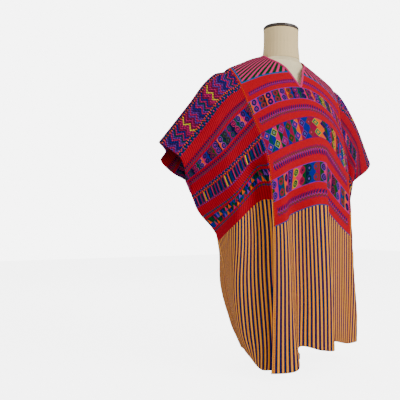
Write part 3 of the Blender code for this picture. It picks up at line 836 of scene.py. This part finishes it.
def band_pattern(g, band, across, depth, ground, groups):
    """The colour and the raised mask of one brocaded band."""
    makers = {
        "zigzag": zigzag_band,
        "octagons": figure_band,
        "diamonds": figure_band,
        "slants": figure_band,
        "checks": check_band,
        "dots": dot_band,
        "bars": bar_band,
        "chevrons": chevron_band,
        "triangles": triangle_band,
        "line": line_band,
    }
    return makers[band.kind](g, band, across, depth, ground, groups)


def zigzag_band(g, band, across, depth, ground, groups):
    if band.palette == "turned":
        depth = g.math("SUBTRACT", 1.0, depth)
    mask = g.group(groups["zigzag"], Across=across, Depth=depth, Pitch=band.pitch)
    threads = {
        "purple": (INDIGO, PURPLE, LILAC),
        "olive": (INDIGO, OLIVE, LILAC),
        "turned": (INDIGO, OLIVE, LILAC),
        "dull": (PLUM, OLIVE, PURPLE),
    }
    upper, lower, line = threads[band.palette]
    colour = ground
    raised = 0.0
    for part, thread in (("Strokes", upper), ("Lower", lower), ("Foot", PURPLE), ("Line", line)):
        colour = g.mix(mask[part], colour, thread)
        raised = g.math("ADD", raised, mask[part])
    return colour, raised


def figure_band(g, band, across, depth, ground, groups):
    """Stacked figures on blocks of two colours; on a side panel the blocks lean."""
    if band.kind == "slants":
        across = g.math("ADD", across, g.math("MULTIPLY", depth, band.pitch * 0.7))
    mask = g.group(
        groups["figures"],
        Across=g.math("ADD", across, 600.0),
        Depth=depth,
        Pitch=band.pitch,
        Height=float(band.end - band.start),
        Diamond=1.0 if band.kind == "diamonds" else 0.0,
    )
    number = mask["Cell"]
    back = g.mix(mask["Right half"], g.palette(number, band.palette + "_left"), g.palette(number, band.palette + "_right"))
    colour = g.mix(mask["Inside"], back, g.palette(number, band.palette + "_inside"))
    colour = g.mix(mask["Heart"], colour, g.palette(number, band.palette + "_heart"))
    colour = g.mix(mask["Ring"], colour, g.palette(number, band.palette + "_ring"))
    edge = g.above(g.math("ABSOLUTE", g.math("SUBTRACT", depth, 0.5)), 0.5 - 1.8 / (band.end - band.start))
    return g.mix(edge, colour, LILAC if band.kind == "octagons" else PURPLE), 1.0


def line_band(g, band, across, depth, ground, groups):
    return g.mix(0.4, SKY, PURPLE), 1.0


def check_band(g, band, across, depth, ground, groups):
    rows = g.math("FLOOR", g.math("MULTIPLY", depth, 3.0))
    number = g.math("ADD", g.cell(across, band.pitch), g.math("MULTIPLY", rows, 3.0))
    return g.palette(number, band.palette), 1.0


def dot_band(g, band, across, depth, ground, groups):
    return g.palette(g.cell(across, band.pitch), band.palette), 1.0


def bar_band(g, band, across, depth, ground, groups):
    """Narrow upright bars, each of short stacked floats."""
    dash = g.share_of(g.math("MULTIPLY", depth, float(band.end - band.start)), 3.8)
    gap = g.math("MAXIMUM", g.below(g.share_of(across, band.pitch), 0.14), g.below(dash, 0.22))
    return g.mix(gap, g.palette(g.cell(across, band.pitch), band.palette), NAVY), 1.0


def chevron_band(g, band, across, depth, ground, groups):
    """Zigzags up the sleeve in small floats, every other float dark."""
    height = g.math("MULTIPLY", depth, float(band.end - band.start))
    column = g.cell(across, CHEVRON_FLOAT)
    row = g.cell(height, CHEVRON_FLOAT)
    wave = g.math("ABSOLUTE", g.math("SUBTRACT", g.share_of(row, CHEVRON_ROWS), 0.5))
    place = g.math("ADD", column, g.math("MULTIPLY", wave, CHEVRON_ROWS))
    number = g.cell(place, CHEVRON_WIDTH)
    odd = g.above(g.math("FLOORED_MODULO", g.math("ADD", column, row), 2.0), 0.5)
    return g.mix(odd, g.palette(number, band.palette), g.palette(number, band.palette + "_specks")), 1.0


def triangle_band(g, band, across, depth, ground, groups):
    """Two rows of leaning triangles, each with its own colour and ground."""
    leaning = g.math("ADD", across, g.math("MULTIPLY", depth, band.pitch * 0.6))
    from_middle = g.math("ABSOLUTE", g.math("SUBTRACT", g.share_of(leaning, band.pitch), 0.5))
    row = g.math("MULTIPLY", depth, 2.0)
    number = g.math("ADD", g.cell(leaning, band.pitch), g.math("MULTIPLY", g.math("FLOOR", row), 2.0))
    inside = g.above(g.math("FRACT", row), g.math("MULTIPLY", from_middle, 2.6))
    return g.mix(inside, g.palette(number, band.palette + "_left"), g.palette(number, band.palette + "_right")), 1.0
def yoke_pattern(g, across, down, colour, relief):
    """Pink rays on dark green, fanning from the neck to a blue border, over the ground near the fold."""
    x = g.math("DIVIDE", across, YOKE_HALF)
    y = g.math("DIVIDE", down, YOKE_DEPTH)
    to_side = g.math("SUBTRACT", YOKE_HALF, g.math("ABSOLUTE", across))
    depth = g.math("SUBTRACT", YOKE_DEPTH, g.math("MULTIPLY", g.math("POWER", x, 2.0), YOKE_RISE))
    room = g.math("MINIMUM", to_side, g.math("SUBTRACT", depth, down))
    angle = g.math("ARCTAN2", g.math("MULTIPLY", y, 1.15), x)
    turn = g.math("DIVIDE", angle, 2 * math.pi / RAYS)
    ray = g.below(g.math("FRACT", g.math("ADD", turn, 100.25)), RAY_SHARE)
    rays = g.mix(ray, GREEN, MAGENTA)
    bordered = g.mix(g.below(room, YOKE_BORDER), rays, SKY)
    inside = g.above(room, 0.0)
    painted = g.mix(inside, colour, bordered)
    relief = g.math("ADD", relief, g.both(inside, ray))
    return painted, relief


def plain_material(name, light, dark, scale, stretch, roughness, depth):
    """A surface in two close shades, mottled or grained along Z, with a light relief."""
    made = bpy.data.materials.new(name)
    made.use_nodes = True
    g = Graph(made.node_tree)
    shader = made.node_tree.nodes["Principled BSDF"]
    place = g.node("ShaderNodeTexCoord")
    mapping = g.node("ShaderNodeMapping")
    mapping.inputs["Scale"].default_value = stretch
    g.feed(mapping.inputs["Vector"], place.outputs["Object"])
    noise = g.node("ShaderNodeTexNoise")
    noise.inputs["Scale"].default_value = scale
    noise.inputs["Detail"].default_value = 4.0
    g.feed(noise.inputs["Vector"], mapping.outputs[0])
    g.feed(shader.inputs["Base Color"], g.mix(noise.outputs[0], dark, light))
    shader.inputs["Roughness"].default_value = roughness
    bump = g.node("ShaderNodeBump")
    bump.inputs["Strength"].default_value = 0.4
    bump.inputs["Distance"].default_value = depth
    g.feed(bump.inputs["Height"], noise.outputs[0])
    g.feed(shader.inputs["Normal"], bump.outputs[0])
    return made


def binding_piece(points, normals, loop, surface):
    """The binding round the neck hole, on the fine cloth's own points, moved out."""
    low = []
    high = []
    for k, (edge, towards) in enumerate(loop):
        along = points[loop[(k + 1) % len(loop)][0]] - points[loop[k - 1][0]]
        away = np.cross(along, normals[edge])
        away *= np.sign(away @ (points[towards] - points[edge])) / np.linalg.norm(away)
        for share, rise in ((-0.12, 0.2), (0.15, 1.0), (0.6, 1.0), (1.0, 0.3)):
            place = points[edge] + away * BINDING_WIDTH * share
            low.append(place - normals[edge] * WALL * 0.4)
            high.append(place + normals[edge] * (BINDING_LIFT + BINDING_WALL * rise))
    count = len(loop)
    quads = []
    for i in range(count):
        after = (i + 1) % count
        for j in range(3):
            quads.append([4 * i + j, 4 * i + j + 1, 4 * after + j + 1, 4 * after + j])
    made, faces = shell(high, low, quads)
    mesh = bpy.data.meshes.new("neck_binding_strip")
    mesh.from_pydata([tuple(point) for point in made], [], faces)
    mesh.materials.append(surface)
    mesh.polygons.foreach_set("use_smooth", np.ones(len(faces), bool))
    piece = bpy.data.objects.new("neck_binding_strip", mesh)
    bpy.context.scene.collection.objects.link(piece)
    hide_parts("neck_binding")
    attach(piece, "root")
    return piece


CAMERA_BACK = 1.87
CAMERA_TURN = math.radians(35)
CAMERA_HEIGHT = 0.42
LENS = 53.8
SHIFT_ACROSS = -0.2025
SHIFT_UP = 0.0625


def add_camera():
    """The camera stands level, to the front and the garment's left, where the photograph was taken."""
    data = bpy.data.cameras.new("camera")
    data.lens = LENS
    data.shift_x = SHIFT_ACROSS
    data.shift_y = SHIFT_UP
    camera = bpy.data.objects.new("camera", data)
    bpy.context.scene.collection.objects.link(camera)
    camera.location = (
        -CAMERA_BACK * math.sin(CAMERA_TURN),
        -CAMERA_BACK * math.cos(CAMERA_TURN),
        CAMERA_HEIGHT,
    )
    camera.rotation_euler = (math.pi / 2, 0, -CAMERA_TURN)
    bpy.context.scene.camera = camera


def add_light(name, place, size, power):
    data = bpy.data.lights.new(name, "AREA")
    data.size = size
    data.energy = power
    light = bpy.data.objects.new(name, data)
    bpy.context.scene.collection.objects.link(light)
    light.location = place
    aim = bpy.data.objects.new(name + "_aim", None)
    bpy.context.scene.collection.objects.link(aim)
    aim.location = (0, 0, 0.55)
    track = light.constraints.new("TRACK_TO")
    track.target = aim
    track.track_axis = "TRACK_NEGATIVE_Z"
    track.up_axis = "UP_Y"


def add_stage():
    """A pale floor, a pale world and soft studio lights."""
    bpy.ops.mesh.primitive_plane_add(size=12, location=(0, 0, 0))
    floor = bpy.context.active_object
    floor.name = "floor"
    paper = plain_material("pale_floor", "#FBFBFA", "#F6F6F5", 6.0, (1, 1, 1), 0.9, 0.0002)
    shader = paper.node_tree.nodes["Principled BSDF"]
    shader.inputs["Emission Color"].default_value = (1.0, 1.0, 1.0, 1.0)
    seen = paper.node_tree.nodes.new("ShaderNodeLightPath").outputs["Is Camera Ray"]
    Graph(paper.node_tree).feed(
        shader.inputs["Emission Strength"], Graph(paper.node_tree).math("MULTIPLY", seen, FLOOR_GLOW)
    )
    floor.data.materials.append(paper)
    world = bpy.data.worlds.new("studio")
    world.use_nodes = True
    g = Graph(world.node_tree)
    back = world.node_tree.nodes["Background"]
    seen = g.node("ShaderNodeLightPath").outputs["Is Camera Ray"]
    g.feed(back.inputs["Color"], "#FFFFFF")
    g.feed(back.inputs["Strength"], g.math("ADD", WORLD_LIGHT, g.math("MULTIPLY", seen, WORLD_SEEN)))
    bpy.context.scene.world = world
    add_light("key", (0.9, -2.5, 2.0), 1.4, 62)
    add_light("fill", (-2.2, -1.2, 1.2), 1.8, 10)
    add_light("rim", (0.8, 2.2, 2.0), 1.2, 20)


WORLD_LIGHT = 0.50
WORLD_SEEN = 6.0
FLOOR_GLOW = 5.0


def main():
    add_camera()
    groups = {"zigzag": zigzag_group(), "figures": figure_group(), "weave": thread_group()}
    red = cloth_material("brocaded_red_cotton", RED, CENTRE_BANDS, CENTRE_STRIPES, groups, 1.3, True)
    crimson = cloth_material("ribbed_crimson_cotton", CRIMSON, SIDE_BANDS, SIDE_STRIPES, groups, RIB_PITCH, False)
    surfaces = {"centre_panel": red, "side_panel_left": crimson, "side_panel_right": crimson}
    panels, outer, normals, loop = cloth_pieces(surfaces)
    pink = plain_material("pink_cotton_binding", "#E02A78", "#B81458", 900.0, (1, 1, 1), 0.85, 0.0003)
    binding_piece(outer, normals, loop, pink)
    dress_form()
    add_stage()


# Edges of the dress form that turn more than this stay sharp
SHARP_ANGLE = math.radians(35)


def dress_form():
    """The dress form's own solids in their finishes, smooth but for their sharp edges."""
    finishes = {
        "form_torso": plain_material("ivory_jersey", "#FFF3C8", "#FBEAB8", 500.0, (1, 1, 0.6), 0.8, 0.0001),
        "form_neck": plain_material("beige_linen", "#FBE2AC", "#EACD92", 700.0, (1, 1, 1), 0.9, 0.0002),
        "form_cap": plain_material("dark_wood", "#4A3D33", "#2B2320", 60.0, (1, 6, 1), 0.45, 0.0002),
        "form_pole": plain_material("grey_steel", "#B4B4B2", "#9A9A98", 200.0, (1, 1, 0.1), 0.35, 0.0001),
        "form_base": plain_material("pale_enamel", "#F1F0EC", "#ECEBE6", 30.0, (1, 1, 1), 0.4, 0.0001),
    }
    for name, finish in finishes.items():
        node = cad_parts[name]
        node.data.materials.clear()
        node.data.materials.append(finish)
        for face in node.data.polygons:
            face.material_index = 0
            face.use_smooth = True
        node.data.set_sharp_from_angle(angle=SHARP_ANGLE)


main()
